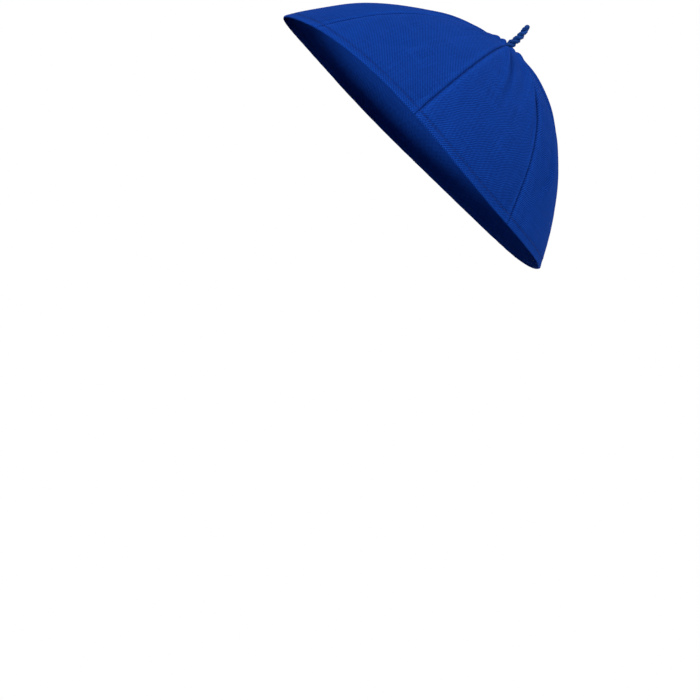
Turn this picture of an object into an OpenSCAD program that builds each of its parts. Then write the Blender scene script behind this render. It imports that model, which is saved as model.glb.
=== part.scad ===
// Soft skull cap sewn from eight tapered cloth panels, with a short twisted-cord stem at
// the crown. Millimetres. Z runs up the middle of the cap and Z = 0 is the plane of its
// rim. The forehead side faces -X and the back of the head +X. The seams stand at equal
// angles, and the first one is at the middle of the back.

/* [Overall size] */
// Outside diameter of the cap at its rim
cap_d = 165; // [140:1:200]
// Height of the crown above the rim, outside
cap_h = 60; // [48:1:75]

/* [Shape of the dome] */
// Inward lean of the wall at the rim, in degrees
rim_lean = 30; // [22:1:38]
// Fall of the top away from level at the crown, in degrees
crown_fall = 2; // [0:1:6]
// How far the wall keeps its lean at the rim, as a share of the cap's height
rim_fullness = 0.57; // [0.45:0.01:0.65]
// How far the top stays level at the crown, as a share of the rim's radius
crown_fullness = 0.47; // [0.4:0.01:0.55]

/* [Cloth] */
// Thickness of one layer of cloth
cloth_t = 0.5; // [0.4:0.05:0.65]
// Space between two neighbouring panels along a seam
seam_gap = 0.3; // [0.25:0.05:0.5]
// Width of each seam allowance, pressed open on the inside
allowance_w = 6; // [4:0.5:9]
// Height of the panels' lower edge where it is turned up inside
hem_h = 6; // [4:0.5:9]

/* [Inside facing] */
// Height above the rim of the facing's lower edge
facing_inset = 0.8; // [0.5:0.1:1.5]
// Height above the rim of the facing's upper edge
facing_h = 22; // [15:1:30]
// Space between the two ends of the facing where they meet at the back
facing_join_gap = 0.4; // [0.3:0.05:0.6]
// Space between the facing and the layer of cloth that it lies on
facing_clearance = 0.1; // [0.05:0.05:0.2]

/* [Sewing threads] */
// Width of the thread line inside a seam
seam_thread_w = 0.2; // [0.15:0.01:0.22]
// Diameter of the thread of the stitching along the rim
rim_thread_d = 0.3; // [0.2:0.05:0.4]
// Height of that stitching above the rim
rim_stitch_h = 3; // [2:0.5:5]
// Width of each tack that holds the facing to a seam
tack_w = 0.6; // [0.4:0.1:1]
// Space between a thread and the cloth that it lies on
thread_clearance = 0.05; // [0.03:0.01:0.08]

/* [Stem] */
// Height of the stem's tip above the crown
stem_h = 13.8; // [10:0.2:20]
// Radius of the knot at the foot of the stem
knot_r = 1.7; // [1.5:0.1:2]
// Height of the knot's middle above the crown, which is where the stem bends
knot_rise = 0.8; // [0.7:0.1:1]
// Radius of one leg of the twisted cord at its foot
cord_foot_r = 0.78; // [0.65:0.01:0.8]
// Radius of one leg of the twisted cord at its tip
cord_tip_r = 0.6; // [0.5:0.01:0.65]
// Distance of each leg from the stem's middle, in leg radii
leg_spread = 1.04; // [1.03:0.01:1.08]
// Turns that the two legs make round each other
cord_turns = 1.9; // [1.2:0.1:2.2]
// Space between the foot of the twisted cord and the knot
twist_gap = 0.2; // [0.1:0.05:0.3]
// Space between the knot and what surrounds it
knot_clearance = 0.3; // [0.25:0.05:0.4]
// Length of the cord's tail inside the crown
tail_length = 3; // [2:0.5:5]
// Radius of the cord's tail
tail_r = 1.5; // [1.2:0.05:1.5]
// Diameter of the thread that ties the tail to the panels
tail_thread_d = 0.6; // [0.4:0.1:0.6]

/* [Hidden] */
PANEL_COUNT = 8;
PANELS = [for (i = [1:PANEL_COUNT]) str("panel_", i)];
SEAM_THREADS = [for (i = [1:PANEL_COUNT]) str("seam_thread_", i)];
$fn = 96;

panel_angle = 360 / PANEL_COUNT;
rim_r = cap_d / 2;
lining_depth = 2 * cloth_t + facing_clearance;
inner_depth = lining_depth + cloth_t;
knot_z = cap_h + knot_rise;
stem_hole_r = sqrt(pow(knot_r + knot_clearance, 2) - pow(knot_rise, 2));
CURVE_STEPS = 24;
SEARCH_STEPS = 24;
CORD_SIDES = 10;
LEG_STEPS = 30;
BIGHT_STEPS = 10;

cloth_colour = [0.06, 0.25, 0.68];
facing_colour = [0.05, 0.2, 0.58];
thread_colour = [0.04, 0.16, 0.5];
cord_colour = [0.07, 0.28, 0.72];

// The outer outline of the cap is one cubic curve from the rim to the crown.
RIM_POINT = [rim_r, 0];
RIM_HANDLE = RIM_POINT + rim_fullness * cap_h * [-sin(rim_lean), cos(rim_lean)];
CROWN_POINT = [0, cap_h];
CROWN_HANDLE = CROWN_POINT + crown_fullness * rim_r * [cos(crown_fall), -sin(crown_fall)];

function unit(v) = v / norm(v);

// Point on the outline, as radius and height, where t runs from 0 at the rim to 1
function outline(t) =
    pow(1 - t, 3) * RIM_POINT + 3 * pow(1 - t, 2) * t * RIM_HANDLE
    + 3 * (1 - t) * t * t * CROWN_HANDLE + pow(t, 3) * CROWN_POINT;

// Direction of the outline, from the rim to the crown
function along(t) = unit(
    pow(1 - t, 2) * (RIM_HANDLE - RIM_POINT) + 2 * (1 - t) * t * (CROWN_HANDLE - RIM_HANDLE)
    + t * t * (CROWN_POINT - CROWN_HANDLE)
);

// Point at a depth below the outline, square to it
function below(t, depth) = let (a = along(t)) outline(t) - depth * [a[1], -a[0]];

// Place on the outline at a height, found by halving
function place_at(h, low = 0, high = 1, left = SEARCH_STEPS) =
    let (middle = (low + high) / 2)
    left == 0 ? middle
    : outline(middle)[1] < h ? place_at(h, middle, high, left - 1)
    : place_at(h, low, middle, left - 1);

// Cross-section of a layer between two depths, from one height to another, out to the hole
// that the stem stands in
module layer_section(depth_out, depth_in, low, high) {
    steps = [for (i = [0:CURVE_STEPS]) i / CURVE_STEPS];
    intersection() {
        polygon(concat(
            [for (t = steps) below(t, depth_out)],
            [for (t = steps) below(1 - t, depth_in)]
        ));
        translate([stem_hole_r, low]) square([cap_d, high - low]);
    }
}

// The same layer all the way round
module layer_round(depth_out, depth_in, low, high) {
    rotate_extrude() layer_section(depth_out, depth_in, low, high);
}

// A thin upright slice of a layer, centred on the +X direction
module layer_slice(width, depth_out, depth_in, low, high) {
    translate([0, width / 2, 0]) rotate([90, 0, 0])
        linear_extrude(width) layer_section(depth_out, depth_in, low, high);
}

// Plan of one panel's sector, clear of both its seams by the same distance
module sector_plan(clear) {
    half = panel_angle / 2;
    corner = clear / sin(half);
    reach = cap_d * [cos(half), sin(half)];
    polygon([[corner, 0], [corner + reach[0], reach[1]], [corner + reach[0], -reach[1]]]);
}

// One panel: a single layer, doubled where its allowances and its hem are turned in
module panel(i) {
    color(cloth_colour) rotate([0, 0, panel_angle * (i - 0.5)]) difference() {
        intersection() {
            layer_round(0, 2 * cloth_t, 0, 2 * cap_h);
            linear_extrude(2 * cap_h) sector_plan(seam_gap / 2);
        }
        intersection() {
            layer_round(cloth_t, 3 * cloth_t, hem_h, 2 * cap_h);
            linear_extrude(2 * cap_h) sector_plan(seam_gap / 2 + allowance_w);
        }
    }
}

// The thread line that joins two panels, sunk between their folded edges
module seam_thread(i) {
    color(thread_colour) rotate([0, 0, panel_angle * (i - 1)]) layer_slice(
        seam_thread_w, seam_gap / 2, 2 * cloth_t - thread_clearance, seam_gap / 2, 2 * cap_h
    );
}

// A ring of thread on a face at a depth, at the height of the rim's stitching
module rim_thread(depth) {
    centre = below(place_at(rim_stitch_h), depth);
    color(thread_colour) rotate_extrude() translate(centre) circle(d = rim_thread_d);
}

module rim_needle_thread() {
    rim_thread(-(rim_thread_d / 2 + thread_clearance));
}

module rim_bobbin_thread() {
    rim_thread(inner_depth + rim_thread_d / 2 + thread_clearance);
}

// A band of cloth inside the rim, its two ends meeting at the middle of the back
module rim_facing() {
    color(facing_colour) difference() {
        layer_round(lining_depth, inner_depth, facing_inset, facing_h);
        translate([0, -facing_join_gap / 2, -1]) cube([cap_d, facing_join_gap, facing_h + 2]);
    }
}

module facing_join_thread() {
    color(thread_colour) layer_slice(
        facing_join_gap - 2 * thread_clearance,
        lining_depth + thread_clearance, inner_depth - thread_clearance,
        facing_inset + cloth_t, facing_h - cloth_t
    );
}

// One tack at each seam, over the facing's upper edge
module facing_tacks() {
    color(thread_colour) for (i = [0:PANEL_COUNT - 1]) rotate([0, 0, panel_angle * i])
        layer_slice(
            tack_w, 2 * cloth_t + thread_clearance, inner_depth,
            facing_h + thread_clearance, facing_h + thread_clearance + tack_w
        );
}

// The knot that the stem bends at, seated in the hole where the panels meet
module stem_knot() {
    color(cord_colour) translate([0, 0, knot_z]) sphere(r = knot_r);
}

// The twisted cord is one length folded in half: up one leg, over the bight, down the other.
foot_z = knot_z + knot_r + twist_gap;
bight_z = cap_h + stem_h - cord_tip_r * (1 + leg_spread);

// Radius of a leg at a share s of the way up
function cord_r(s) = cord_foot_r + (cord_tip_r - cord_foot_r) * s;

// Angle of a leg, which eases in and out so that the leg is upright at its foot and bight
function leg_angle(s) = let (u = 2 * s - 1) 360 * cord_turns * (1 + (9 * u - pow(u, 9)) / 8) / 2;

function leg_point(s, side) = let (a = leg_angle(s), r = side * leg_spread * cord_r(s))
    [r * cos(a), r * sin(a), foot_z + (bight_z - foot_z) * s];

function bight_point(a) = let (turn = leg_angle(1), r = leg_spread * cord_tip_r)
    [r * cos(a) * cos(turn), r * cos(a) * sin(turn), bight_z + r * sin(a)];

CORD_CENTRES = concat(
    [for (i = [0:LEG_STEPS]) leg_point(i / LEG_STEPS, 1)],
    [for (i = [1:BIGHT_STEPS - 1]) bight_point(180 * i / BIGHT_STEPS)],
    [for (i = [LEG_STEPS:-1:0]) leg_point(i / LEG_STEPS, -1)]
);
CORD_RADII = concat(
    [for (i = [0:LEG_STEPS]) cord_r(i / LEG_STEPS)],
    [for (i = [1:BIGHT_STEPS - 1]) cord_tip_r],
    [for (i = [LEG_STEPS:-1:0]) cord_r(i / LEG_STEPS)]
);

// Directions of a route at its points
function directions(p) = [for (i = [0:len(p) - 1])
    unit(p[min(i + 1, len(p) - 1)] - p[max(i - 1, 0)])];

// Side directions carried along a route without turning about it
function carried(d, last, i = 0) = i == len(d) ? []
    : let (side = unit(last - (last * d[i]) * d[i])) concat([side], carried(d, side, i + 1));

// A round tube along a route, with a radius at each point
module tube(route, radii, sides) {
    ahead = directions(route);
    aside = carried(ahead, [1, 0, 0]);
    points = [for (i = [0:len(route) - 1], k = [0:sides - 1])
        let (a = 360 * k / sides)
        route[i] + radii[i] * (cos(a) * aside[i] + sin(a) * cross(ahead[i], aside[i]))];
    walls = [for (i = [0:len(route) - 2], k = [0:sides - 1])
        let (next = (k + 1) % sides, here = i * sides, there = (i + 1) * sides)
        each [
            [here + k, there + k, here + next],
            [here + next, there + k, there + next]
        ]];
    first = [for (k = [0:sides - 1]) k];
    last = [for (k = [sides - 1:-1:0]) (len(route) - 1) * sides + k];
    polyhedron(points, concat(walls, [first, last]));
}

module stem_twist() {
    color(cord_colour) tube(CORD_CENTRES, CORD_RADII, CORD_SIDES);
}

tail_top = knot_z - knot_r - knot_clearance;

// The cord's tail inside the crown
module stem_tail() {
    color(cord_colour) translate([0, 0, tail_top - tail_length])
        cylinder(h = tail_length, r = tail_r);
}

// The thread that ties the tail to the panels round the hole
module stem_tail_thread() {
    ring_r = tail_r + thread_clearance + tail_thread_d / 2;
    fall = (ring_r + tail_thread_d / 2) * tan(crown_fall);
    ring_z = cap_h - fall - 2 * cloth_t - 2 * thread_clearance - tail_thread_d / 2;
    color(thread_colour) translate([0, 0, ring_z])
        rotate_extrude() translate([ring_r, 0]) circle(d = tail_thread_d);
}

for (i = [1:PANEL_COUNT]) {
    panel(i);
    seam_thread(i);
}
rim_needle_thread();
rim_bobbin_thread();
rim_facing();
facing_join_thread();
facing_tacks();
stem_knot();
stem_twist();
stem_tail();
stem_tail_thread();
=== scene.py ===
"""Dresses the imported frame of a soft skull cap: cloth panels, sewing, inside facing and cord stem."""

import logging
import math
from bisect import bisect_left
from collections.abc import Callable, Sequence
from dataclasses import dataclass, field
from enum import Enum

import bmesh
import bpy
from mathutils import Matrix, Vector, noise


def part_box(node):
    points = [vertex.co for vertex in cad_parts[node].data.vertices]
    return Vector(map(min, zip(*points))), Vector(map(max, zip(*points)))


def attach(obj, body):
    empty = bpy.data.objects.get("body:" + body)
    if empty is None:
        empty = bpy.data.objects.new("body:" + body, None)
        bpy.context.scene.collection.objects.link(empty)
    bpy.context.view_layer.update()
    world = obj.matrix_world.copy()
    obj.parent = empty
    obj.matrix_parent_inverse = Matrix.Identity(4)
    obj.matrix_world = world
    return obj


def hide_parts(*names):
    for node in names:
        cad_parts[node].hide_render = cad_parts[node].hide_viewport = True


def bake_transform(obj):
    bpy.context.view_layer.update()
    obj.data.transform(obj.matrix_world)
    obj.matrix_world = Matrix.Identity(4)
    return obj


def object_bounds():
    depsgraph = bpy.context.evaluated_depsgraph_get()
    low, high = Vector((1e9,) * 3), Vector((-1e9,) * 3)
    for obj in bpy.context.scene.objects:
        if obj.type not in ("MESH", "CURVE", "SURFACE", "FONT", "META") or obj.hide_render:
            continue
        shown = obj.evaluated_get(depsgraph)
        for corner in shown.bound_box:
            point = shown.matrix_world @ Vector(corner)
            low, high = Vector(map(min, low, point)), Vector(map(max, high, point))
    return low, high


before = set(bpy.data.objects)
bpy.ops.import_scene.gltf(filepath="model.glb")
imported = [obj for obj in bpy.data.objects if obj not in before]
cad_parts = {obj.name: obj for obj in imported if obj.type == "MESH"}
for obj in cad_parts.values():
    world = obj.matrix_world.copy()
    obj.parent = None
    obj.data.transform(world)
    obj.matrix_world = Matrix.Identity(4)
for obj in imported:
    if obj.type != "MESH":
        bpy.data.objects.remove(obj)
CAD_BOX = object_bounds()

LOG = logging.getLogger("skull_cap")
MM = 0.001

Place = tuple[Vector, tuple[float, float], float]


class Body(Enum):
    """The bodies of the frame, by the names that the frame gives them."""

    CAP = "cap"
    STEM_BASE = "stem_base"
    STEM_UPPER = "stem_upper"


class Held(Enum):
    """How a sheet of cloth is held in its shape."""

    DRAPED = "draped"
    FOLDED = "folded"


def smooth(value: float, low: float, high: float) -> float:
    """Rises smoothly from 0 at low to 1 at high."""
    share = min(max((value - low) / (high - low), 0.0), 1.0)
    return share * share * (3.0 - 2.0 * share)


def hump(value: float, centre: float, width: float) -> float:
    """A bell of height 1 at centre, and 1/e at a width either side of it."""
    return math.exp(-(((value - centre) / width) ** 2))


def spread(low: float, high: float, steps: int) -> list[float]:
    """Evenly spaced values from low to high, both included."""
    return [low + (high - low) * i / steps for i in range(steps + 1)]


# --------------------------------------------------------------------------- finishes


class NodeBoard:
    """A material's node tree, with short calls to add and join nodes."""

    def __init__(self, name: str) -> None:
        """Starts a material whose only nodes are a Principled BSDF and its output.

        Args:
            name: the material's name.
        """
        self.material = bpy.data.materials.new(name)
        self.material.use_nodes = True
        self.tree = self.material.node_tree
        self.tree.nodes.clear()
        self.shader = self.tree.nodes.new("ShaderNodeBsdfPrincipled")
        output = self.tree.nodes.new("ShaderNodeOutputMaterial")
        self.join(self.shader.outputs["BSDF"], output.inputs["Surface"])

    def join(self, source: bpy.types.NodeSocket, target: bpy.types.NodeSocket) -> None:
        """Links one socket to another."""
        self.tree.links.new(source, target)

    def math(self, operation: str, *values: float | bpy.types.NodeSocket) -> bpy.types.NodeSocket:
        """Adds a Math node.

        Args:
            operation: the node's operation, such as MULTIPLY.
            values: its inputs, each a number or a socket.

        Returns:
            The node's output socket.
        """
        node = self.tree.nodes.new("ShaderNodeMath")
        node.operation = operation
        for socket, value in zip(node.inputs, values):
            if isinstance(value, bpy.types.NodeSocket):
                self.join(value, socket)
            else:
                socket.default_value = value
        return node.outputs["Value"]

    def noise(self, vector: bpy.types.NodeSocket, scale: float, detail: float) -> bpy.types.NodeSocket:
        """Adds a Noise Texture and returns its value, which lies about 0.5."""
        node = self.tree.nodes.new("ShaderNodeTexNoise")
        node.inputs["Scale"].default_value = scale
        node.inputs["Detail"].default_value = detail
        self.join(vector, node.inputs["Vector"])
        return node.outputs["Fac"]

    def scaled(self, vector: bpy.types.NodeSocket, scale: Sequence[float]) -> bpy.types.NodeSocket:
        """Adds a Mapping node that scales a vector, and returns its output."""
        node = self.tree.nodes.new("ShaderNodeMapping")
        node.inputs["Scale"].default_value = scale
        self.join(vector, node.inputs["Vector"])
        return node.outputs["Vector"]

    def uv(self) -> bpy.types.NodeSocket:
        """Returns the UV coordinates of the piece's own map."""
        return self.tree.nodes.new("ShaderNodeTexCoord").outputs["UV"]

    def parts(self, vector: bpy.types.NodeSocket) -> tuple[bpy.types.NodeSocket, bpy.types.NodeSocket]:
        """Splits a vector and returns its X and Y."""
        node = self.tree.nodes.new("ShaderNodeSeparateXYZ")
        self.join(vector, node.inputs["Vector"])
        return node.outputs["X"], node.outputs["Y"]

    def ramp(self, value: bpy.types.NodeSocket, stops: Sequence[tuple[float, Sequence[float]]]) -> None:
        """Colours the shader from a value, through a Color Ramp.

        Args:
            value: the socket that the ramp reads.
            stops: each stop's place and its linear colour.
        """
        node = self.tree.nodes.new("ShaderNodeValToRGB")
        elements = node.color_ramp.elements
        while len(elements) < len(stops):
            elements.new(0.5)
        for element, (place, colour) in zip(elements, stops):
            element.position = place
            element.color = (*colour, 1.0)
        self.join(value, node.inputs["Fac"])
        self.join(node.outputs["Color"], self.shader.inputs["Base Color"])

    def bump(self, heights: Sequence[tuple[bpy.types.NodeSocket, float, float]]) -> None:
        """Adds Bump nodes, one on another, and joins the last to the shader.

        Args:
            heights: each a height socket, a strength and a distance in metres.
        """
        below = None
        for height, strength, distance in heights:
            node = self.tree.nodes.new("ShaderNodeBump")
            node.inputs["Strength"].default_value = strength
            node.inputs["Distance"].default_value = distance
            self.join(height, node.inputs["Height"])
            if below is not None:
                self.join(below, node.inputs["Normal"])
            below = node.outputs["Normal"]
        self.join(below, self.shader.inputs["Normal"])


@dataclass(frozen=True)
class ClothFinish:
    """Plain-woven dyed cotton, its two thread systems drawn from the piece's UV map in metres, with painted
    highlight and shade read from the mesh.
    """

    name: str
    dark: tuple[float, float, float]
    middle: tuple[float, float, float]
    light: tuple[float, float, float]
    thread_pitch: float = 0.5 * MM
    roughness: float = 0.82
    sheen: float = 0.1

    def material(self) -> bpy.types.Material:
        """Builds the material and returns it."""
        board = NodeBoard(self.name)
        uv = board.uv()
        wander = board.noise(board.scaled(uv, (75.0, 75.0, 1.0)), 1.0, 3.0)
        shift = board.math("MULTIPLY", wander, 5.0 * self.thread_pitch)
        across, along = board.parts(uv)
        turn = math.pi / self.thread_pitch
        warp = board.math("SINE", board.math("MULTIPLY", board.math("ADD", across, shift), turn))
        weft = board.math("SINE", board.math("MULTIPLY", board.math("SUBTRACT", along, shift), turn))
        crossing = board.math("MULTIPLY", warp, weft)
        ribs = board.math("ADD", board.math("ABSOLUTE", warp), board.math("ABSOLUTE", weft))
        weave = board.math("MULTIPLY_ADD", ribs, 0.3, board.math("MULTIPLY", crossing, 0.5))
        slub_warp = board.noise(board.scaled(uv, (1.0 / self.thread_pitch, 60.0, 1.0)), 1.0, 0.0)
        slub_weft = board.noise(board.scaled(uv, (60.0, 1.0 / self.thread_pitch, 1.0)), 1.0, 0.0)
        slubs = board.math("ADD", slub_warp, slub_weft)
        cloud = board.noise(board.scaled(uv, (28.0, 28.0, 1.0)), 1.0, 3.0)
        # Painted highlight and shade from a per-vertex value: lighter on pressed ridges and folds, darker
        # in seam and stitch creases.
        painted_shading = board.tree.nodes.new("ShaderNodeAttribute")
        painted_shading.attribute_name = "painted_shading"
        tone = board.math("MULTIPLY_ADD", crossing, 0.6, 0.5)
        tone = board.math("MULTIPLY_ADD", board.math("SUBTRACT", slubs, 1.0), 0.3, tone)
        tone = board.math("MULTIPLY_ADD", board.math("SUBTRACT", cloud, 0.5), 0.3, tone)
        tone = board.math("MULTIPLY_ADD", painted_shading.outputs["Fac"], 0.2, tone)
        board.ramp(tone, [(0.0, self.dark), (0.5, self.middle), (1.0, self.light)])
        board.bump([
            (cloud, 0.3, 0.3 * MM),
            (slubs, 0.4, 0.06 * MM),
            (weave, 0.8, 0.16 * MM),
        ])
        shader = board.shader.inputs
        shader["Roughness"].default_value = self.roughness
        shader["Specular IOR Level"].default_value = 0.02
        shader["Sheen Weight"].default_value = self.sheen
        shader["Sheen Roughness"].default_value = 0.45
        shader["Sheen Tint"].default_value = (0.01, 0.12, 0.55, 1.0)
        return board.material


@dataclass(frozen=True)
class ThreadFinish:
    """Spun thread or cord: fine fibres laid at a slant, from the piece's UV map."""

    name: str
    dark: tuple[float, float, float]
    light: tuple[float, float, float]
    turns: float
    fibre_distance: float
    roughness: float = 0.62

    def material(self) -> bpy.types.Material:
        """Builds the material and returns it."""
        board = NodeBoard(self.name)
        across, along = board.parts(board.uv())
        slant = board.math("MULTIPLY_ADD", along, self.turns, across)
        fibres = board.math("SINE", board.math("MULTIPLY", slant, 2.0 * math.pi * 7.0))
        fuzz = board.noise(board.scaled(board.uv(), (9.0, 40.0, 1.0)), 3.0, 3.0)
        tone = board.math("MULTIPLY_ADD", fibres, 0.22, fuzz)
        board.ramp(tone, [(0.15, self.dark), (0.85, self.light)])
        board.bump([(fuzz, 0.4, self.fibre_distance), (fibres, 0.6, self.fibre_distance)])
        shader = board.shader.inputs
        shader["Roughness"].default_value = self.roughness
        shader["Specular IOR Level"].default_value = 0.12
        shader["Sheen Weight"].default_value = 0.08
        shader["Sheen Roughness"].default_value = 0.4
        shader["Sheen Tint"].default_value = (0.03, 0.16, 0.6, 1.0)
        return board.material


@dataclass(frozen=True)
class Finishes:
    """Every finish of the cap, made once and shared."""

    cloth: bpy.types.Material
    facing: bpy.types.Material
    thread: bpy.types.Material
    cord: bpy.types.Material

    @classmethod
    def make(cls) -> "Finishes":
        """Builds the four materials."""
        return cls(
            cloth=ClothFinish(
                "cap_cloth", (0.0008, 0.011, 0.09), (0.0024, 0.028, 0.2), (0.0055, 0.056, 0.36)
            ).material(),
            facing=ClothFinish(
                "facing_cloth", (0.0013, 0.012, 0.1), (0.0026, 0.027, 0.185), (0.006, 0.05, 0.3)
            ).material(),
            thread=ThreadFinish(
                "sewing_thread", (0.0014, 0.012, 0.1), (0.004, 0.036, 0.24), 3.0, 0.02 * MM
            ).material(),
            cord=ThreadFinish(
                "stem_cord", (0.0009, 0.02, 0.12), (0.003, 0.056, 0.27), 26.0, 0.05 * MM
            ).material(),
        )


# --------------------------------------------------------------------------- shape


@dataclass(frozen=True)
class DomeOutline:
    """The cap's outer outline: one cubic curve from the rim to the crown."""

    rim_radius: float
    height: float
    rim_lean: float = math.radians(30.0)
    crown_fall: float = math.radians(2.0)
    rim_fullness: float = 0.57
    crown_fullness: float = 0.47
    samples: int = 240
    table: list[tuple[float, float, float]] = field(default_factory=list)

    def __post_init__(self) -> None:
        """Fills the table of length along the outline, radius and height."""
        length, before = 0.0, self.curve(0.0)
        for share in spread(0.0, 1.0, self.samples):
            here = self.curve(share)
            length += math.dist(before, here)
            self.table.append((length, *here))
            before = here

    def curve(self, t: float) -> tuple[float, float]:
        """Point on the curve.

        Args:
            t: 0 at the rim to 1 at the crown.

        Returns:
            Its radius and its height.
        """
        reach, rise = self.rim_fullness * self.height, self.crown_fullness * self.rim_radius
        radii = (
            self.rim_radius,
            self.rim_radius - reach * math.sin(self.rim_lean),
            rise * math.cos(self.crown_fall),
            0.0,
        )
        heights = (
            0.0,
            reach * math.cos(self.rim_lean),
            self.height - rise * math.sin(self.crown_fall),
            self.height,
        )
        weights = ((1 - t) ** 3, 3 * t * (1 - t) ** 2, 3 * t * t * (1 - t), t**3)
        return (
            sum(w * r for w, r in zip(weights, radii)),
            sum(w * h for w, h in zip(weights, heights)),
        )

    @property
    def length(self) -> float:
        """Length of the outline from the rim to the crown."""
        return self.table[-1][0]

    def at(self, length: float) -> tuple[float, float, Vector]:
        """Point at a length along the outline from the rim.

        Args:
            length: metres from the rim's edge.

        Returns:
            The radius, the height, and the outward direction as (radius, height).
        """
        i = bisect_left(self.table, (length, 0.0, 0.0))
        i = min(max(i, 1), len(self.table) - 1)
        (l0, r0, z0), (l1, r1, z1) = self.table[i - 1], self.table[i]
        share = (length - l0) / (l1 - l0)
        ahead = Vector((r1 - r0, z1 - z0)).normalized()
        return r0 + (r1 - r0) * share, z0 + (z1 - z0) * share, Vector((ahead[1], -ahead[0]))

    def length_at_height(self, height: float) -> float:
        """Length along the outline where it first reaches a height."""
        i = next(k for k, row in enumerate(self.table) if row[2] >= height)
        i = max(i, 1)
        (l0, _, z0), (l1, _, z1) = self.table[i - 1], self.table[i]
        return l0 + (l1 - l0) * (height - z0) / (z1 - z0)


@dataclass(frozen=True)
class Fold:
    """A soft fold of the cloth, raised on one side of its line and sunk on the other."""

    start: tuple[float, float]
    end: tuple[float, float]
    width: float = 2.6 * MM
    height: float = 0.6 * MM
    bow: float = 3.0

    def shift(self, azimuth: float, share: float, radius: float) -> float:
        """Outward shift of the cloth at a place.

        Args:
            azimuth: angle about the cap's middle.
            share: share of the way up the outline.
            radius: distance from the cap's middle.

        Returns:
            Metres outward.
        """
        along = (share - self.start[1]) / (self.end[1] - self.start[1])
        if not -0.25 < along < 1.25:
            return 0.0
        middle = self.start[0] + (self.end[0] - self.start[0]) * along
        middle += self.bow * math.sin(math.pi * along)
        turned = (math.degrees(azimuth) - middle + 180.0) % 360.0 - 180.0
        aside = math.radians(turned) * radius / self.width
        if abs(aside) > 3.0:
            return 0.0
        fade = smooth(along, -0.25, 0.3) * (1.0 - smooth(along, 0.6, 1.25))
        return 1.4 * self.height * aside * math.exp(0.5 - aside * aside) * fade


FOLDS = (
    Fold((276.0, 0.93), (289.0, 0.42), 1.7 * MM, -1.3 * MM, 2.0),
    Fold((298.0, 0.86), (301.0, 0.50), 2.4 * MM, 0.7 * MM),
    Fold((311.5, 0.86), (310.0, 0.34), 2.0 * MM, -0.9 * MM, 0.0),
    Fold((334.0, 0.44), (325.0, 0.20), 2.6 * MM, 1.0 * MM),
    Fold((332.0, 0.93), (346.0, 0.60), 1.8 * MM, 1.1 * MM),
    Fold((20.0, 0.93), (26.0, 0.52), 2.0 * MM, -1.2 * MM),
    Fold((38.0, 0.42), (30.0, 0.20), 3.0 * MM, 0.8 * MM),
    Fold((68.0, 0.94), (60.0, 0.55), 1.9 * MM, 1.2 * MM),
    Fold((80.0, 0.46), (70.0, 0.22), 3.0 * MM, 0.8 * MM),
    Fold((110.0, 0.93), (118.0, 0.50), 1.9 * MM, -1.3 * MM),
    Fold((160.0, 0.94), (152.0, 0.58), 1.8 * MM, 1.1 * MM),
    Fold((170.0, 0.40), (162.0, 0.16), 3.2 * MM, -0.8 * MM),
    Fold((200.0, 0.94), (208.0, 0.60), 1.8 * MM, -1.0 * MM),
    Fold((236.0, 0.93), (247.0, 0.60), 1.7 * MM, 1.0 * MM),
    Fold((252.0, 0.40), (246.0, 0.14), 3.4 * MM, 0.5 * MM),
)


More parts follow.
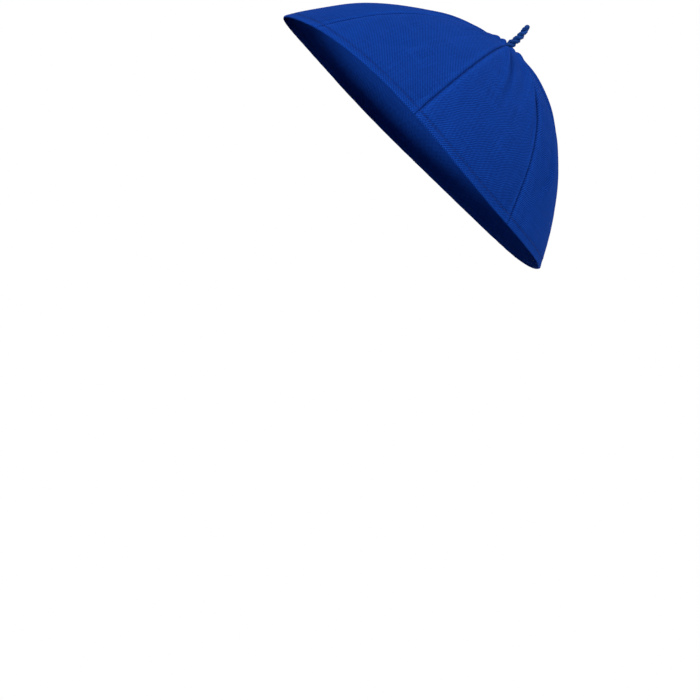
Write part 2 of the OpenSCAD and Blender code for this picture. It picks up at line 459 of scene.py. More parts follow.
@dataclass(frozen=True)
class Drape:
    """The soft shape of the worn cloth over the plain outline, as outward shifts."""

    outline: DomeOutline
    panel_count: int
    stitch_length: float
    seam_allowance: float
    folds: tuple[Fold, ...] = FOLDS
    puff: float = 0.55 * MM
    fullness: float = 0.27 * MM
    back_fullness: float = 0.62 * MM
    back_shoulder: float = 2.13 * MM
    oval: float = -2.27 * MM
    rim_sway: float = 0.4 * MM
    rim_ripple: float = 0.8 * MM
    rim_flutter: float = 0.6 * MM
    rim_sway_at: float = math.radians(50.0)
    rim_ripple_at: float = math.radians(5.0)
    rim_flutter_at: float = math.radians(-20.0)
    rim_stand: float = 1.0 * MM
    seam_pull: float = 0.42 * MM
    ridge: float = 0.16 * MM
    pucker: float = 0.09 * MM
    pucker_pitch: float = 4.4 * MM
    stitch_pull: float = 0.15 * MM
    crown_swell: float = 1.95 * MM
    crown_ring: float = 6.0 * MM
    crown_ring_width: float = 3.3 * MM
    crown_dimple: float = 2.3 * MM
    crown_dimple_width: float = 3.2 * MM

    @property
    def panel_angle(self) -> float:
        """Angle between two seams."""
        return 2.0 * math.pi / self.panel_count

    def half_width(self, length: float) -> float:
        """Half the width of a panel at a length up from the rim."""
        return self.outline.at(length)[0] * self.panel_angle / 2.0

    def seams(self, azimuth: float, radius: float, length: float) -> float:
        """Shift beside a seam: drawn in at the stitches, raised over its allowances, and puckered."""
        step = azimuth / self.panel_angle
        nearest = round(step)
        away = abs(step - nearest) * self.panel_angle * radius
        phase = 2.0 * math.pi * length / self.pucker_pitch + 1.7 * (nearest % self.panel_count)
        wobble = math.sin(phase + 2.0 * math.sin(0.31 * phase))
        above_hem = smooth(length, 0.6 * self.stitch_length, 1.9 * self.stitch_length)
        shift = -self.seam_pull * hump(away, 0.0, 1.3 * MM) * above_hem
        shift += self.ridge * (1.0 - smooth(away, 0.8 * self.seam_allowance, 1.25 * self.seam_allowance))
        return shift + self.pucker * wobble * hump(away, 1.2 * MM, 2.6 * MM)

    def rim(self, azimuth: float, radius: float, length: float) -> float:
        """Shift near the rim: the stitched line drawn in, slant ripples of the hem, a slow wave."""
        slant = 2.0 * math.pi * (azimuth * radius / (8.5 * MM) + length / (11.0 * MM))
        ripple = math.sin(slant + 1.5 * math.sin(azimuth * 3.0))
        wave = 0.5 * math.sin(3.0 * azimuth + 0.6) + 0.35 * math.sin(5.0 * azimuth + 2.0)
        shift = -self.stitch_pull * hump(length, self.stitch_length, 0.8 * MM)
        shift += 0.07 * MM * ripple * hump(length, 0.6 * self.stitch_length, 3.0 * MM)
        return shift + 0.3 * MM * wave * hump(length, 0.0, 26.0 * MM)

    def crown(self, azimuth: float, radius: float) -> float:
        """Shift near the stem: the gathered swell, its dips along the seams, and the dimple."""
        lobes = 0.5 + 0.5 * math.cos(self.panel_count * (azimuth - self.panel_angle / 2.0))
        uneven = 1.0 - 0.3 * math.cos(azimuth) + 0.1 * math.sin(2.0 * azimuth + 1.9)
        ring = hump(radius, self.crown_ring, self.crown_ring_width)
        swell = self.crown_swell * ring * (0.3 + 0.7 * lobes) * uneven
        return swell - self.crown_dimple * hump(radius, 0.0, self.crown_dimple_width)

    def rim_lift(self, azimuth: float, share: float) -> float:
        """How far the rim stands up off a flat surface: two, three and four rises, fading up the cap."""
        wave = self.rim_sway * math.cos(2.0 * (azimuth - self.rim_sway_at))
        wave += self.rim_ripple * math.cos(3.0 * (azimuth - self.rim_ripple_at))
        wave += self.rim_flutter * math.cos(4.0 * (azimuth - self.rim_flutter_at))
        return (wave + self.rim_stand) * (1.0 - share) ** 3

    def shift(self, azimuth: float, length: float) -> float:
        """Outward shift of the cloth.

        Args:
            azimuth: angle about the cap's middle, 0 at the middle of the back.
            length: metres up the outline from the rim.

        Returns:
            Metres outward, square to the outline.
        """
        turned = azimuth % (2.0 * math.pi)
        radius, height, _ = self.outline.at(length)
        share = min(max(length / self.outline.length, 0.0), 1.0)
        across = (turned / self.panel_angle) % 1.0
        shift = self.puff * 4.0 * across * (1.0 - across) * smooth(share, 0.05, 0.4)
        shift += (self.fullness + self.back_fullness * math.cos(turned)) * 4.0 * share * (1.0 - share)
        shift += self.back_shoulder * math.cos(turned) * 6.75 * share * share * (1.0 - share)
        shift += self.oval * math.cos(2.0 * turned) * (1.0 - share) ** 2
        spot = Vector((radius * math.cos(turned), radius * math.sin(turned), height))
        shift += 0.45 * MM * noise.noise(spot / (24.0 * MM)) * smooth(share, 0.04, 0.2)
        shift += 0.12 * MM * noise.noise(spot / (9.0 * MM) + Vector((7.0, 3.0, 1.0)))
        shift += self.seams(turned, radius, length) + self.rim(turned, radius, length)
        shift += sum(fold.shift(turned, share, radius) for fold in self.folds)
        return shift + self.crown(turned, radius)

    def point(self, azimuth: float, length: float, depth: float) -> Vector:
        """Place on the cap.

        Args:
            azimuth: angle about the cap's middle.
            length: metres up the outline from the rim.
            depth: metres below the outer face.

        Returns:
            The point, in metres.
        """
        radius, height, outward = self.outline.at(length)
        away = self.shift(azimuth, length) - depth
        radius += outward[0] * away
        share = min(max(length / self.outline.length, 0.0), 1.0)
        return Vector((
            radius * math.cos(azimuth),
            radius * math.sin(azimuth),
            height + outward[1] * away + self.rim_lift(azimuth, share),
        ))

    def axes(self, azimuth: float, length: float, depth: float) -> Matrix:
        """A frame on the cloth, to lay a stitch in.

        Args:
            azimuth: angle about the cap's middle.
            length: metres up the outline from the rim.
            depth: metres below the outer face.

        Returns:
            A matrix whose X runs round the cap, Y up the outline and Z outwards.
        """
        step = 0.4 * MM
        here = self.point(azimuth, length, depth)
        radius = max(self.outline.at(length)[0], MM)
        around = (self.point(azimuth + step / radius, length, depth) - here).normalized()
        upward = self.point(azimuth, length + step, depth) - here
        outward = around.cross(upward).normalized()
        upward = outward.cross(around)
        turn = Matrix((around, upward, outward)).transposed().to_4x4()
        return Matrix.Translation(here) @ turn


def turned_edge(cloth: float, fold: float) -> tuple[float, float]:
    """Where a strip of cloth lies when its edge is folded under.

    Args:
        cloth: place along the strip, 0 where the fold starts and negative beyond it.
        fold: radius of the fold, at the middle of the cloth.

    Returns:
        The distance in from the folded edge, and the depth below the outer layer.
    """
    if cloth >= 0.0:
        return fold + cloth, 0.0
    angle = -cloth / fold
    if angle < math.pi:
        return fold * (1.0 - math.sin(angle)), fold * (1.0 - math.cos(angle))
    return fold - cloth - math.pi * fold, 2.0 * fold


# --------------------------------------------------------------------------- mesh helpers


def finished(name: str, mesh: bmesh.types.BMesh, material: bpy.types.Material) -> bpy.types.Object:
    """Turns a bmesh into a smooth-shaded object in the scene.

    Args:
        name: the piece's name.
        mesh: the bmesh, which is freed.
        material: its only material.

    Returns:
        The object, at the origin.
    """
    data = bpy.data.meshes.new(name)
    mesh.to_mesh(data)
    mesh.free()
    data.materials.append(material)
    data.shade_smooth()
    piece = bpy.data.objects.new(name, data)
    bpy.context.scene.collection.objects.link(piece)
    return piece


def laid_cloth(
    name: str,
    columns: Sequence[float],
    rows: Sequence[float],
    place: Callable[[float, float], Place],
    material: bpy.types.Material,
) -> bpy.types.Object:
    """Bends a flat grid of cloth into shape.

    Args:
        name: the piece's name.
        columns: the grid's stations across.
        rows: the grid's stations along.
        place: gives the point, the flat coordinates and the painted highlight and shade of a column and a
            row.
        material: the cloth.

    Returns:
        The sheet, one face thick.
    """
    mesh = bmesh.new()
    bmesh.ops.create_grid(mesh, x_segments=len(columns) - 1, y_segments=len(rows) - 1, size=0.5)
    uv = mesh.loops.layers.uv.new("grain")
    # A per-vertex value of painted highlight and shade, which the cloth's colour reads.
    painted_shading = mesh.verts.layers.float.new("painted_shading")
    flat: dict[int, tuple[float, float]] = {}
    mesh.verts.index_update()
    for vert in mesh.verts:
        column = columns[round((vert.co.x + 0.5) * (len(columns) - 1))]
        row = rows[round((vert.co.y + 0.5) * (len(rows) - 1))]
        vert.co, flat[vert.index], vert[painted_shading] = place(column, row)
    for face in mesh.faces:
        for loop in face.loops:
            loop[uv].uv = flat[loop.vert.index]
    return finished(name, mesh, material)


def thicken(piece: bpy.types.Object, thickness: float, levels: int = 1) -> None:
    """Rounds a sheet and gives it its thickness, half to each side."""
    if levels:
        rounded = piece.modifiers.new("rounded", "SUBSURF")
        rounded.levels = rounded.render_levels = levels
    wall = piece.modifiers.new("cloth", "SOLIDIFY")
    wall.thickness = thickness
    wall.offset = 0.0
    wall.use_quality_normals = True


def stitches(
    name: str,
    places: Sequence[Matrix],
    length: float,
    diameter: float,
    material: bpy.types.Material,
) -> bpy.types.Object:
    """Lays one small grain of thread at each place, long side on its X.

    Args:
        name: the piece's name.
        places: a matrix for each stitch.
        length: a stitch's length.
        diameter: the thread's diameter.
        material: the thread.

    Returns:
        All the stitches as one piece.
    """
    grain = bmesh.new()
    grain.loops.layers.uv.new("grain")
    size = Matrix.Diagonal((length / 2.0, diameter / 2.0, diameter / 2.0, 1.0))
    upright = Matrix.Rotation(math.pi / 2.0, 4, "Y")
    bmesh.ops.create_uvsphere(
        grain, u_segments=8, v_segments=7, radius=1.0, matrix=size @ upright, calc_uvs=True
    )
    one = bpy.data.meshes.new(f"{name}_grain")
    grain.to_mesh(one)
    grain.free()
    mesh = bmesh.new()
    for place in places:
        one.transform(place)
        mesh.from_mesh(one)
        one.transform(place.inverted())
    bpy.data.meshes.remove(one)
    return finished(name, mesh, material)


def put(piece: bpy.types.Object, body: Body, slot: str, *nodes: str) -> bpy.types.Object:
    """Rides a piece on its body, hides the CAD nodes that it stands for, and logs it.

    Args:
        piece: the new piece.
        body: the body that it moves with.
        slot: a material slot's name, which is not used.
        nodes: the CAD nodes that it replaces.

    Returns:
        The piece.
    """
    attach(piece, body.value)
    if nodes:
        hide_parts(*nodes)
    LOG.info("%s rides on %s, %d vertices", piece.name, body.value, len(piece.data.vertices))
    return piece


# --------------------------------------------------------------------------- cloth pieces


@dataclass(frozen=True)
class Panels:
    """The eight cloth panels, each with its allowances turned in and its lower edge turned up."""

    drape: Drape
    cloth: bpy.types.Material
    thickness: float
    hem: float
    stem_hole: float
    seam_press: float = 0.03 * MM
    layer_gap: float = 0.1 * MM
    face_columns: int = 52
    allowance_columns: int = 5
    fold_steps: int = 6
    hem_rows: int = 5

    @property
    def fold(self) -> float:
        """Radius of a folded edge, at the middle of the cloth."""
        return (self.thickness + self.layer_gap) / 2.0

    @property
    def top(self) -> float:
        """Length up the outline at which a panel ends, beside the stem."""
        table = self.drape.outline.table
        return next(row[0] for row in table if row[1] <= self.stem_hole)

    def half_width(self, length: float) -> float:
        """Half the width between a panel's two folded edges, at the middle of the cloth."""
        return self.drape.half_width(length) - (self.thickness - self.seam_press) / 2.0

    def allowance(self, length: float) -> float:
        """Width of a seam allowance, trimmed near the crown and in the hem."""
        room = 0.85 * (self.half_width(length) - self.fold)
        above_hem = smooth(length, 0.9 * self.hem, 1.5 * self.hem)
        return min(self.drape.seam_allowance * (0.06 + 0.94 * above_hem), room)

    def columns(self) -> list[float]:
        """Stations across: a share of the face up to 1, then 1 plus the turned cloth's share."""
        face = [1.0 - (1.0 - share) ** 1.7 for share in spread(0.0, 1.0, self.face_columns // 2)]
        turned = [1.0 + step for step in spread(0.0, 1.0, self.fold_steps)[1:]]
        turned += [2.0 + step for step in spread(0.0, 1.0, self.allowance_columns)[1:]]
        half = face[1:] + turned
        return [-c for c in reversed(half)] + [0.0] + half

    def rows(self) -> list[float]:
        """Stations along the cloth, from the raw edge of the hem to the crown."""
        bend = math.pi * self.fold
        hem = spread(-bend - self.hem, -bend, self.hem_rows)
        curl = spread(-bend, 0.0, self.fold_steps)[1:]
        low = spread(0.0, 7.0 * MM, 16)[1:]
        top = self.top - self.fold
        middle = spread(7.0 * MM, top - 14.0 * MM, 44)[1:]
        high = spread(top - 14.0 * MM, top, 22)[1:]
        return hem + curl + low + middle + high

    def place(self, panel: int, column: float, row: float) -> Place:
        """Where a station of a panel lies.

        Args:
            panel: 0 for the first panel after the middle of the back.
            column: station across.
            row: station along.

        Returns:
            The point, its place on the flat cloth, and its painted highlight and shade.
        """
        length, hem_depth = turned_edge(row, self.fold)
        length += self.thickness / 2.0
        half = self.half_width(length)
        reach = half - self.fold
        share, side = abs(column), math.copysign(1.0, column)
        bend = math.pi * self.fold
        if share <= 1.0:
            aside, seam_depth, flat = reach * share, 0.0, reach * share
        else:
            past = bend * (share - 1.0) if share <= 2.0 else bend + self.allowance(length) * (share - 2.0)
            inward, seam_depth = turned_edge(-past, self.fold)
            aside, flat = half - inward, reach + past
        in_hem = hem_depth / (2.0 * self.fold)
        depth = self.thickness / 2.0 + hem_depth + seam_depth * (1.0 - in_hem)
        middle = (panel + 0.5) * self.drape.panel_angle
        radius = self.drape.outline.at(length)[0]
        point = self.drape.point(middle + side * aside / radius, length, depth)
        if seam_depth > self.fold or hem_depth > self.fold:
            return point, (side * flat, row), 0.0
        above_hem = smooth(length, self.drape.stitch_length, 1.8 * self.drape.stitch_length)
        inward = half - aside
        # Painted highlight on the ridge beside each seam and on the rim's fold; painted shade in the seam
        # line and along the rim stitches.
        painted_shading = 0.7 * hump(inward, 1.5 * MM, 0.8 * MM) - 1.6 * above_hem * hump(inward, 0.0, 0.4 * MM)
        painted_shading += 0.5 * hump(length, 0.3 * MM, 0.9 * MM)
        painted_shading -= 0.8 * hump(length, self.drape.stitch_length, 0.6 * MM)
        return point, (side * flat, row), painted_shading

    def flat_area(self) -> float:
        """Area of one panel's cut cloth."""
        rows = self.rows()
        total = 0.0
        for low, high in zip(rows, rows[1:]):
            length = turned_edge((low + high) / 2.0, self.fold)[0]
            width = self.half_width(length) - self.fold + math.pi * self.fold + self.allowance(length)
            total += 2.0 * width * (high - low)
        return total

    def flat_size(self) -> tuple[float, float]:
        """Greatest width and length of one panel's cut cloth."""
        rows = self.rows()
        sizes = [self.half_width(turned_edge(row, self.fold)[0]) for row in rows]
        widths = [half + math.pi * self.fold + self.allowance(turned_edge(row, self.fold)[0])
                  for half, row in zip(sizes, rows)]
        return 2.0 * max(widths), rows[-1] - rows[0]

    def build(self) -> list[bpy.types.Object]:
        made = []
        for panel in range(self.drape.panel_count):
            piece = laid_cloth(
                f"cap_panel_{panel + 1}", self.columns(), self.rows(),
                lambda column, row, panel=panel: self.place(panel, column, row), self.cloth,
            )
            thicken(piece, self.thickness)
            put(piece, Body.CAP, "cap_cloth", f"panel_{panel + 1}")
            self.flat_size()
            self.flat_area()
            made.append(piece)
        return made


@dataclass(frozen=True)
class Facing:
    """The band of cloth inside the rim, with its joined ends, its tacks and its overcast edge."""

    drape: Drape
    finishes: Finishes
    thickness: float
    depth: float
    low: float
    high: float
    join_gap: float
    columns_round: int = 288
    rows_up: int = 14
    slack: float = 0.5 * MM

    def sag(self, azimuth: float, length: float) -> float:
        """How far the band stands off the panels between its tacks."""
        between = abs(math.sin(azimuth / self.drape.panel_angle * math.pi))
        rise = smooth(length, 0.35 * self.high, self.high)
        ripple = 0.6 + 0.4 * math.sin(7.0 * azimuth + 1.0)
        return self.slack * between * rise * ripple

    def place(self, azimuth: float, length: float) -> Place:
        """Where a station of the band lies, with its flat coordinates and a painted highlight along its
        lower edge.
        """
        depth = self.depth + self.sag(azimuth, length)
        point = self.drape.point(azimuth, length, depth)
        # Painted highlight along the band's lower edge, at the rim's fold.
        painted_shading = 0.8 * hump(length, self.low, 0.8 * MM)
        return point, (azimuth * self.drape.outline.rim_radius, length), painted_shading

    def build(self) -> list[bpy.types.Object]:
        """Builds the band and its threads, and returns them."""
        radius = self.drape.outline.rim_radius
        half_gap = self.join_gap / 2.0 / radius
        azimuths = spread(half_gap, 2.0 * math.pi - half_gap, self.columns_round)
        band = laid_cloth(
            "facing_band", azimuths, spread(self.low, self.high, self.rows_up),
            self.place, self.finishes.facing,
        )
        thicken(band, self.thickness)
        put(band, Body.CAP, "facing_cloth", "rim_facing")
        return [band, self.join(), self.tacks(), self.overcast()]

    def inner_axes(self, azimuth: float, length: float) -> Matrix:
        """A stitch frame on the band's inner face."""
        depth = self.depth + self.thickness / 2.0 + 0.07 * MM + self.sag(azimuth, length)
        return self.drape.axes(azimuth, length, depth)

    def join(self) -> bpy.types.Object:
        """Zigzag stitches that join the band's ends at the middle of the back."""
        places = []
        for i, length in enumerate(spread(self.low + 1.5 * MM, self.high - 1.5 * MM, 18)):
            slant = Matrix.Rotation(math.radians(35.0 if i % 2 else -35.0), 4, "Z")
            places.append(self.inner_axes(0.0, length) @ slant)
        piece = stitches("facing_join_stitches", places, 1.9 * MM, 0.3 * MM, self.finishes.thread)
        return put(piece, Body.CAP, "sewing_thread", "facing_join_thread")

    def tacks(self) -> bpy.types.Object:
        """Three stitches at each seam, over the band's upper edge."""
        upright = Matrix.Rotation(math.pi / 2.0, 4, "Z")
        places = []
        for seam in range(self.drape.panel_count):
            for aside in (-0.6 * MM, 0.0, 0.6 * MM):
                radius = self.drape.outline.at(self.high)[0]
                axes = self.inner_axes(seam * self.drape.panel_angle + aside / radius, self.high - 0.2 * MM)
                places.append(axes @ Matrix.Rotation(math.radians(4.0), 4, "X") @ upright)
        piece = stitches("facing_tack_stitches", places, 3.0 * MM, 0.45 * MM, self.finishes.thread)
        return put(piece, Body.CAP, "sewing_thread", "facing_tacks")

    def overcast(self) -> bpy.types.Object:
        """Slanted stitches over the band's raw upper edge."""
        radius = self.drape.outline.at(self.high)[0]
        count = round(2.0 * math.pi * radius / (1.7 * MM))
        slant = Matrix.Rotation(math.radians(62.0), 4, "Z")
        places = [self.inner_axes(2.0 * math.pi * (i + 0.5) / count, self.high - 0.9 * MM) @ slant
                  for i in range(count)]
        piece = stitches("facing_overcast_stitches", places, 2.2 * MM, 0.26 * MM, self.finishes.thread)
        return put(piece, Body.CAP, "sewing_thread")


@dataclass(frozen=True)
class Sewing:
    """The threads of the panels: their seams, the stitching along the rim, the overcast edges."""

    drape: Drape
    panels: Panels
    thread: bpy.types.Material
    rim_length: float
    rim_inner_depth: float
    rim_pitch: float = 2.6 * MM
    seam_pitch: float = 2.2 * MM

    def rim_row(self, name: str, depth: float, node: str) -> bpy.types.Object:
        """One row of lockstitches round the rim.

        Args:
            name: the piece's name.
            depth: depth of the thread's middle below the outer face.
            node: the CAD ring that it stands for.

        Returns:
            The piece.
        """
        count = round(2.0 * math.pi * self.drape.outline.at(self.rim_length)[0] / self.rim_pitch)
        places = []
        for i in range(count):
            wander = 0.06 * MM * math.sin(2.1 * i)
            tilt = Matrix.Rotation(math.radians(3.0 + 2.0 * math.sin(1.3 * i)), 4, "Z")
            axes = self.drape.axes(2.0 * math.pi * (i + 0.5) / count, self.rim_length + wander, depth)
            places.append(axes @ tilt)
        piece = stitches(name, places, 0.86 * self.rim_pitch, 0.3 * MM, self.thread)
        return put(piece, Body.CAP, "sewing_thread", node)

    def seam(self, number: int) -> bpy.types.Object:
        """The lockstitches of one seam, sunk between the folded edges and seen again inside."""
        azimuth = number * self.drape.panel_angle
        upright = Matrix.Rotation(math.pi / 2.0, 4, "Z")
        low, high = self.rim_length + 1.5 * MM, self.panels.top - 1.5 * MM
        count = round((high - low) / self.seam_pitch)
        places = []
        for i in range(count):
            length = low + (i + 0.5) * (high - low) / count
            for depth in (0.45 * MM, 2.0 * self.panels.thickness + 0.05 * MM):
                places.append(self.drape.axes(azimuth, length, depth) @ upright)
        name = f"seam_stitches_{number + 1}"
        piece = stitches(name, places, 0.85 * self.seam_pitch, 0.26 * MM, self.thread)
        return put(piece, Body.CAP, "sewing_thread", f"seam_thread_{number + 1}")

    def overcast(self) -> bpy.types.Object:
        """Slanted stitches over the raw edges of all the seam allowances."""
        places = []
        depth = 2.0 * self.panels.thickness + 1.7 * self.panels.layer_gap
        low, high = 1.6 * self.panels.hem, self.panels.top - 9.0 * MM
        count = round((high - low) / (1.8 * MM))
        for seam in range(self.drape.panel_count):
            for side in (-1.0, 1.0):
                slant = Matrix.Rotation(side * math.radians(28.0), 4, "Z")
                for i in range(count):
                    length = low + (high - low) * (i + 0.5) / count
                    aside = self.panels.allowance(length) - 0.2 * MM
                    radius = self.drape.outline.at(length)[0]
                    azimuth = seam * self.drape.panel_angle + side * aside / radius
                    places.append(self.drape.axes(azimuth, length, depth) @ slant)
        piece = stitches("allowance_overcast_stitches", places, 1.9 * MM, 0.22 * MM, self.thread)
        return put(piece, Body.CAP, "sewing_thread")

    def build(self) -> list[bpy.types.Object]:
        """Builds every thread of the panels, and returns the pieces."""
        made = [self.seam(number) for number in range(self.drape.panel_count)]
        made.append(self.rim_row("rim_needle_stitches", -0.03 * MM, "rim_needle_thread"))
        made.append(self.rim_row("rim_bobbin_stitches", self.rim_inner_depth, "rim_bobbin_thread"))
        made.append(self.overcast())
        return made


# --------------------------------------------------------------------------- stem


@dataclass(frozen=True)
class Strand:
    """A round cord of three plies, swept along a route."""

    route: list[Vector]
    radii: list[float]
    sides: int = 24
    plies: int = 3
    ply_depth: float = 0.09
    lay: float = 4.2 * MM

    def frames(self) -> list[tuple[Vector, Vector, Vector, float]]:
        """Point, two side directions and length so far, at each point of the route."""
        count, aside, length = len(self.route), Vector((1.0, 0.0, 0.0)), 0.0
        made = []
        for i, here in enumerate(self.route):
            ahead = (self.route[min(i + 1, count - 1)] - self.route[max(i - 1, 0)]).normalized()
            aside = (aside - ahead * aside.dot(ahead)).normalized()
            length += (here - self.route[max(i - 1, 0)]).length
            made.append((here, aside.copy(), ahead.cross(aside), length))
        return made

    def build(self, name: str, material: bpy.types.Material) -> bpy.types.Object:
        """Sweeps the strand, closes its side and its two ends, and returns it.

        Args:
            name: the piece's name.
            material: the cord.

        Returns:
            The piece.
        """
        frames = self.frames()

        def place(column: float, row: float) -> Place:
            """A point of the strand's skin, its place on the cloth map, and no painted light.

            Args:
                column: turns round the strand.
                row: the step along it.

            Returns:
                The point, its map place and its painted light, which is none.
            """
            here, first, second, length = frames[round(row)]
            angle = 2.0 * math.pi * column
            lobes = math.cos(self.plies * (angle - 2.0 * math.pi * length / self.lay))
            end = min(row, len(frames) - 1 - row) / 2.0
            taper = math.sqrt(1.0 - (1.0 - min(end, 1.0)) ** 2) if end < 1.0 else 1.0
            radius = self.radii[round(row)] * (1.0 + self.ply_depth * lobes) * max(taper, 0.02)
            point = here + radius * (math.cos(angle) * first + math.sin(angle) * second)
            return point, (column, length), 0.0

        piece = laid_cloth(name, spread(0.0, 1.0, self.sides), list(range(len(frames))), place, material)
        mesh = bmesh.new()
        mesh.from_mesh(piece.data)
        bmesh.ops.remove_doubles(mesh, verts=mesh.verts, dist=0.002 * MM)
        bmesh.ops.holes_fill(mesh, edges=[e for e in mesh.edges if e.is_boundary])
        bmesh.ops.recalc_face_normals(mesh, faces=mesh.faces)
        mesh.to_mesh(piece.data)
        mesh.free()
        piece.data.shade_smooth()
        return piece


@dataclass(frozen=True)
class Stem:
    """The twisted-cord stem: its knot, the folded cord twisted on itself, and its tail inside."""

    finishes: Finishes
    pivot: Vector
    knot_radius: float
    tip_height: float
    tail_low: float
    foot_leg: float = 1.1 * MM
    tip_leg: float = 0.74 * MM
    leg_spread: float = 0.93
    turns: float = 2.15
    bow: float = 0.7 * MM
    bow_rise: float = 14.4 * MM
    leg_steps: int = 64
    bight_steps: int = 14

    def middle(self, height: float) -> Vector:
        """Middle of the stem at a height, straight at its foot and bowed a little to the back above."""
        aside = self.bow * math.sin(math.pi * (height - self.pivot.z) / self.bow_rise) ** 2
        return Vector((aside, -0.2 * aside, height))

    def leg(self, share: float, side: float, foot: float, bight: float) -> tuple[Vector, float]:
        """A point of one leg.

        Args:
            share: 0 at the foot to 1 at the bight.
            side: 1 for the first leg and -1 for the second.
            foot: height of the foot.
            bight: height of the bight's start.

        Returns:
            The point and the cord's radius there.
        """
        eased = share + (1.0 - share) * 0.02 * math.sin(9.0 * share)
        radius = self.foot_leg + (self.tip_leg - self.foot_leg) * share
        angle = 2.0 * math.pi * self.turns * (8.0 * eased - eased**8) / 7.0
        away = side * self.leg_spread * radius
        middle = self.middle(foot + (bight - foot) * share)
        return middle + Vector((away * math.cos(angle), away * math.sin(angle), 0.0)), radius

    def twist(self) -> bpy.types.Object:
        """The folded cord above the knot, bending between the stem's two bodies."""
        foot = self.pivot.z + 0.35 * self.knot_radius
        bight = self.tip_height - self.tip_leg * (1.0 + self.leg_spread)
        up = [self.leg(i / self.leg_steps, 1.0, foot, bight) for i in range(self.leg_steps + 1)]
        down = [self.leg(i / self.leg_steps, -1.0, foot, bight) for i in range(self.leg_steps, -1, -1)]
        centre = (up[-1][0] + down[0][0]) / 2.0
        reach = up[-1][0] - centre
        over = []
        for i in range(1, self.bight_steps):
            angle = math.pi * i / self.bight_steps
            rise = Vector((0.0, 0.0, reach.length * math.sin(angle)))
            over.append((centre + reach * math.cos(angle) + rise, self.tip_leg))
        points = up + over + down
        strand = Strand([p for p, _ in points], [r for _, r in points])
        piece = strand.build("stem_twisted_cord", self.finishes.cord)
        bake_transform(piece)
        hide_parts("stem_twist")
        LOG.info("%s bends from stem_base to stem_upper, %d vertices", piece.name, len(piece.data.vertices))
        return piece

    def knot(self) -> bpy.types.Object:
        """The thicker foot: a ball with the twist's grooves running round it."""
        mesh = bmesh.new()
        bmesh.ops.create_uvsphere(mesh, u_segments=48, v_segments=32, radius=1.0, calc_uvs=True)
        for vert in mesh.verts:
            angle = math.atan2(vert.co.y, vert.co.x)
            groove = math.cos(angle - 2.6 * vert.co.z + 0.6)
            lobes = abs(groove) ** 0.8
            ring = math.sqrt(max(1.0 - vert.co.z**2, 0.0))
            squeeze = 1.0 - 0.2 * (1.0 - lobes) * ring
            plies = 1.0 + 0.025 * math.cos(9.0 * angle + 11.0 * vert.co.z) * ring
            vert.co = vert.co * self.knot_radius * squeeze * plies + self.pivot
        piece = finished("stem_knot_wound", mesh, self.finishes.cord)
        return put(piece, Body.STEM_BASE, "stem_cord", "stem_knot")

    def tail(self) -> bpy.types.Object:
        """The two cut ends of the cord inside the crown, spread apart and turned flat."""
        points = []
        top, low = self.pivot.z - 0.8 * self.knot_radius, self.tail_low
        for share in spread(-1.0, 1.0, 40):
            side, along = math.copysign(1.0, share), abs(share)
            out = (0.25 + 2.3 * along**1.6) * MM * side
            height = top - (top - low) * math.sin(0.5 * math.pi * along) * 0.9
            points.append(Vector((out, 0.35 * MM * math.sin(3.0 * share), height)))
        strand = Strand(points, [0.72 * MM] * len(points))
        piece = strand.build("stem_tail_ends", self.finishes.cord)
        return put(piece, Body.CAP, "stem_cord", "stem_tail")

    def tail_ties(self, drape: Drape, depth: float) -> bpy.types.Object:
        """Stitches that tie the tail to the panels round the hole."""
        places = []
        ring = drape.outline.length - 2.6 * MM
        for i in range(drape.panel_count * 2):
            azimuth = (i + 0.5) * drape.panel_angle / 2.0
            upright = Matrix.Rotation(math.pi / 2.0 + 0.3 * math.sin(2.0 * i), 4, "Z")
            places.append(drape.axes(azimuth, ring, depth) @ upright)
        piece = stitches("stem_tail_ties", places, 2.6 * MM, 0.3 * MM, self.finishes.thread)
        return put(piece, Body.CAP, "sewing_thread", "stem_tail_thread")


# --------------------------------------------------------------------------- studio


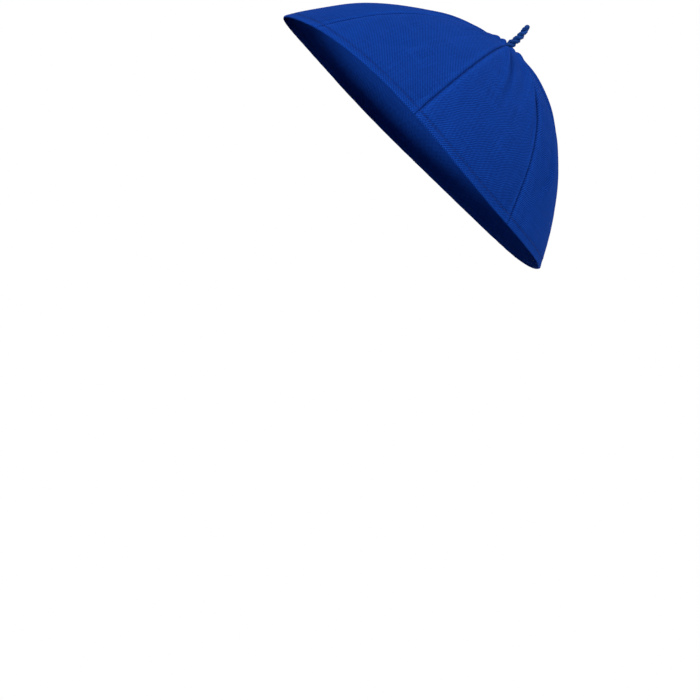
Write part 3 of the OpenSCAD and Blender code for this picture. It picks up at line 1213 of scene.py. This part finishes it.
@dataclass(frozen=True)
class Studio:
    """A pale floor, soft light and the camera, which sees the cap tipped back as it is worn."""

    distance: float = 0.9915
    focal_length: float = 113.22
    sensor: float = 36.0
    yaw: float = math.radians(2.47)
    below: float = math.radians(-0.18)
    roll: float = math.radians(44.99)
    aside: float = 27.53 * MM
    above: float = 93.05 * MM
    floor_drop: float = 1.6 * MM
    floor_hole: float = 66.0 * MM

    def axes(self) -> Matrix:
        """The camera's right, up and backward directions, as a 4x4 turn."""
        lean = Vector((0.0, -math.sin(self.below), math.cos(self.below)))
        ahead = Vector((0.0, math.cos(self.below), math.sin(self.below)))
        side = Vector((1.0, 0.0, 0.0))
        right = side * math.sin(self.roll) + lean * math.cos(self.roll)
        up = lean * math.sin(self.roll) - side * math.cos(self.roll)
        turn = Matrix((right, up, -ahead)).transposed().to_4x4()
        return Matrix.Rotation(self.yaw, 4, "Z") @ turn

    def camera(self) -> bpy.types.Object:
        """Places the camera and makes it the scene's."""
        data = bpy.data.cameras.new("camera")
        data.lens, data.sensor_width = self.focal_length, self.sensor
        data.clip_start, data.clip_end = 0.05, 20.0
        camera = bpy.data.objects.new("camera", data)
        bpy.context.scene.collection.objects.link(camera)
        axes = self.axes()
        camera.matrix_world = axes @ Matrix.Translation((-self.aside, -self.above, self.distance))
        bpy.context.scene.camera = camera
        return camera

    def softbox(self, name: str, place: Sequence[float], size: float, power: float) -> None:
        """Adds a square area light that faces the cap.

        Args:
            name: the light's name.
            place: its place along the camera's right, up and backward directions, in metres.
            size: its side.
            power: its power in watts.
        """
        data = bpy.data.lights.new(name, "AREA")
        data.shape, data.size, data.energy = "SQUARE", size, power
        light = bpy.data.objects.new(name, data)
        bpy.context.scene.collection.objects.link(light)
        where = self.axes() @ Vector(place)
        aim = Vector((0.0, 0.0, 0.03)) - where
        light.matrix_world = Matrix.Translation(where) @ aim.to_track_quat("-Z", "Y").to_matrix().to_4x4()

    def sky(self, strength: float) -> None:
        """Sets a white world: bright where the camera sees it, softer as light."""
        world = bpy.data.worlds.new("studio")
        bpy.context.scene.world = world
        world.use_nodes = True
        nodes, links = world.node_tree.nodes, world.node_tree.links
        nodes.clear()
        path = nodes.new("ShaderNodeLightPath")
        level = nodes.new("ShaderNodeMapRange")
        level.inputs["To Min"].default_value = strength
        level.inputs["To Max"].default_value = 1.0
        glow = nodes.new("ShaderNodeBackground")
        output = nodes.new("ShaderNodeOutputWorld")
        links.new(path.outputs["Is Camera Ray"], level.inputs["Value"])
        links.new(level.outputs["Result"], glow.inputs["Strength"])
        links.new(glow.outputs["Background"], output.inputs["Surface"])
        glow.inputs["Color"].default_value = (1.0, 1.0, 1.0, 1.0)

    def floor(self) -> bpy.types.Object:
        """Lays a pale floor under the rim, seen only from above and open inside the cap for light."""
        mesh = bmesh.new()
        bmesh.ops.create_circle(mesh, cap_ends=False, segments=96, radius=self.floor_hole)
        rim = bmesh.ops.extrude_edge_only(mesh, edges=mesh.edges)["geom"]
        outer = [item for item in rim if isinstance(item, bmesh.types.BMVert)]
        bmesh.ops.scale(mesh, verts=outer, vec=(38.0, 38.0, 1.0))
        bmesh.ops.translate(mesh, verts=mesh.verts, vec=(0.0, 0.0, -self.floor_drop))
        bmesh.ops.recalc_face_normals(mesh, faces=mesh.faces)
        if mesh.faces[:][0].normal.z < 0.0:
            bmesh.ops.reverse_faces(mesh, faces=mesh.faces)
        board = NodeBoard("pale_floor")
        board.shader.inputs["Base Color"].default_value = (0.9, 0.9, 0.9, 1.0)
        board.shader.inputs["Roughness"].default_value = 0.9
        board.shader.inputs["Specular IOR Level"].default_value = 0.1
        nodes = board.tree.nodes
        clear, either = nodes.new("ShaderNodeBsdfTransparent"), nodes.new("ShaderNodeMixShader")
        output = next(node for node in nodes if node.type == "OUTPUT_MATERIAL")
        board.join(nodes.new("ShaderNodeNewGeometry").outputs["Backfacing"], either.inputs["Fac"])
        board.join(board.shader.outputs["BSDF"], either.inputs[1])
        board.join(clear.outputs["BSDF"], either.inputs[2])
        board.join(either.outputs["Shader"], output.inputs["Surface"])
        piece = finished("studio_floor", mesh, board.material)
        return piece

    def build(self) -> None:
        """Sets the colour handling, the camera, the lights and the floor."""
        bpy.context.scene.view_settings.view_transform = "Standard"
        self.camera()
        self.sky(0.36)
        self.softbox("key", (-0.6, 0.9, 0.8), 0.7, 15.5)
        self.softbox("fill", (1.1, -0.2, 0.8), 0.9, 5.0)
        self.softbox("top", (0.7, 0.6, 0.0), 0.7, 6.0)
        self.softbox("under", (-0.4, -0.7, 0.6), 0.7, 10.0)
        self.floor()


# --------------------------------------------------------------------------- the cap


@dataclass(frozen=True)
class SkullCap:
    """The whole cap, with its sizes read from the frame."""

    finishes: Finishes
    panel_count: int = 8
    thickness: float = 0.5 * MM
    seam_allowance: float = 6.0 * MM
    hem: float = 6.0 * MM
    stem_hole: float = 1.0 * MM
    knot_fullness: float = 1.12
    tip_rise: float = 1.3 * MM

    def build(self) -> None:
        """Builds every piece in order."""
        low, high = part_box("rim_facing")
        rim = CAD_BOX[1].x
        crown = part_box("panel_1")[1].z
        thickness = self.thickness
        outline = DomeOutline(rim, crown)
        stitch = outline.length_at_height(sum(v.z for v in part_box("rim_needle_thread")) / 2.0)
        drape = Drape(outline, self.panel_count, stitch, self.seam_allowance)
        panels = Panels(drape, self.finishes.cloth, thickness, self.hem, self.stem_hole)
        panels.build()
        facing = Facing(
            drape, self.finishes, thickness, 2.7 * thickness,
            outline.length_at_height(low.z), outline.length_at_height(high.z), 0.3 * MM,
        )
        facing.build()
        Sewing(drape, panels, self.finishes.thread, stitch, 3.25 * thickness).build()
        knot_low, knot_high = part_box("stem_knot")
        knot_radius = self.knot_fullness * (knot_high.z - knot_low.z) / 2.0
        tip_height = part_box("stem_twist")[1].z + self.tip_rise
        tail_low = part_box("stem_tail")[0].z
        stem = Stem(self.finishes, (knot_low + knot_high) / 2.0, knot_radius, tip_height, tail_low)
        stem.knot()
        stem.twist()
        stem.tail()
        stem.tail_ties(drape, 2.3 * thickness)


def main() -> None:
    """Builds the cap and the studio round the frame."""
    logging.basicConfig(level=logging.INFO, format="%(name)s: %(message)s")
    Studio().build()
    SkullCap(Finishes.make()).build()


if __name__ == "__main__":
    main()
